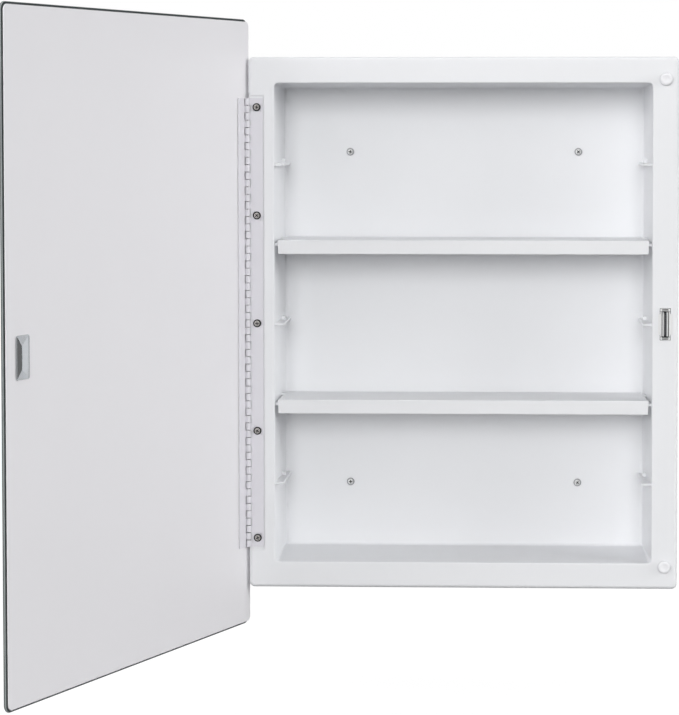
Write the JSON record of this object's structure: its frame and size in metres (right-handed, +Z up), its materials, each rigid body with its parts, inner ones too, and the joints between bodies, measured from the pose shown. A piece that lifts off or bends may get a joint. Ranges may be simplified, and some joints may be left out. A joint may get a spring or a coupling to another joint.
{
  "type": "medicine cabinet with mirror",
  "caption": "Recessed bathroom medicine cabinet: moulded tub with flange, frameless mirror door on a piano hinge, lift-out shelves and magnetic catch.",
  "frame": {"origin": "centre of the back panel's rear face, level with the middle of the flange", "axes": "+X to the right, seen from the room; +Y into the wall; +Z up; the door's side faces -Y"},
  "size_m": [0.5559, 0.485, 0.562],
  "materials": {
    "tub_plastic": "white injection-moulded plastic, satin gloss",
    "shelf_plastic": "white moulded plastic, satin",
    "leaf_paint": "steel strip, enamelled off-white",
    "bright_steel": "bright zinc plate",
    "dark_zinc": "nickel plate, polished",
    "magnet": "sintered ferrite, dull",
    "catch_plastic": "white moulded plastic",
    "bumper": "soft white vinyl dome",
    "mirror_glass": "silvered float glass with a ground edge",
    "door_backing": "off-white plastic backing sheet, eggshell",
    "foam_tape": "closed-cell foam mounting tape"
  },
  "bodies": {
    "cabinet": {"cabinet_body": "tub_plastic", "hinge_frame_leaf": "leaf_paint", "hinge_pin": "bright_steel", "hinge_screw_1": "dark_zinc", "hinge_screw_2": "dark_zinc", "hinge_screw_3": "dark_zinc", "hinge_screw_4": "dark_zinc", "hinge_screw_5": "dark_zinc", "wall_screw_1": "bright_steel", "wall_screw_2": "bright_steel", "wall_screw_3": "bright_steel", "wall_screw_4": "bright_steel", "catch_housing": "catch_plastic", "bumper_top": "bumper", "bumper_bottom": "bumper"},
    "door": {"mirror_glass": "mirror_glass", "door_backing": "door_backing", "mirror_tape_1": "foam_tape", "mirror_tape_2": "foam_tape", "mirror_tape_3": "foam_tape", "mirror_tape_4": "foam_tape", "hinge_door_leaf": "leaf_paint", "hinge_tape": "foam_tape", "strike_plate": "bright_steel", "strike_tape": "foam_tape"},
    "shelf_upper": {"shelf_upper": "shelf_plastic"},
    "shelf_lower": {"shelf_lower": "shelf_plastic"},
    "magnet_pack": {"catch_magnet": "magnet", "pole_plate_left": "bright_steel", "pole_plate_right": "bright_steel"}
  },
  "joints": [
    {"name": "door_hinge", "type": "hinge", "parent": "cabinet", "child": "door", "pos_m": [-0.1991, -0.0838, 0], "axis": [0, 0, -1], "range_deg": [-111.7, 0]},
    {"name": "shelf_upper_lift", "type": "slide", "parent": "cabinet", "child": "shelf_upper", "axis": [0, 0, 1], "range_m": [0, 0.055]},
    {"name": "shelf_lower_lift", "type": "slide", "parent": "cabinet", "child": "shelf_lower", "axis": [0, 0, 1], "range_m": [0, 0.055]},
    {"name": "magnet_float", "type": "slide", "parent": "cabinet", "child": "magnet_pack", "axis": [0, 1, 0], "range_m": [0, 0.0008]}
  ]
}
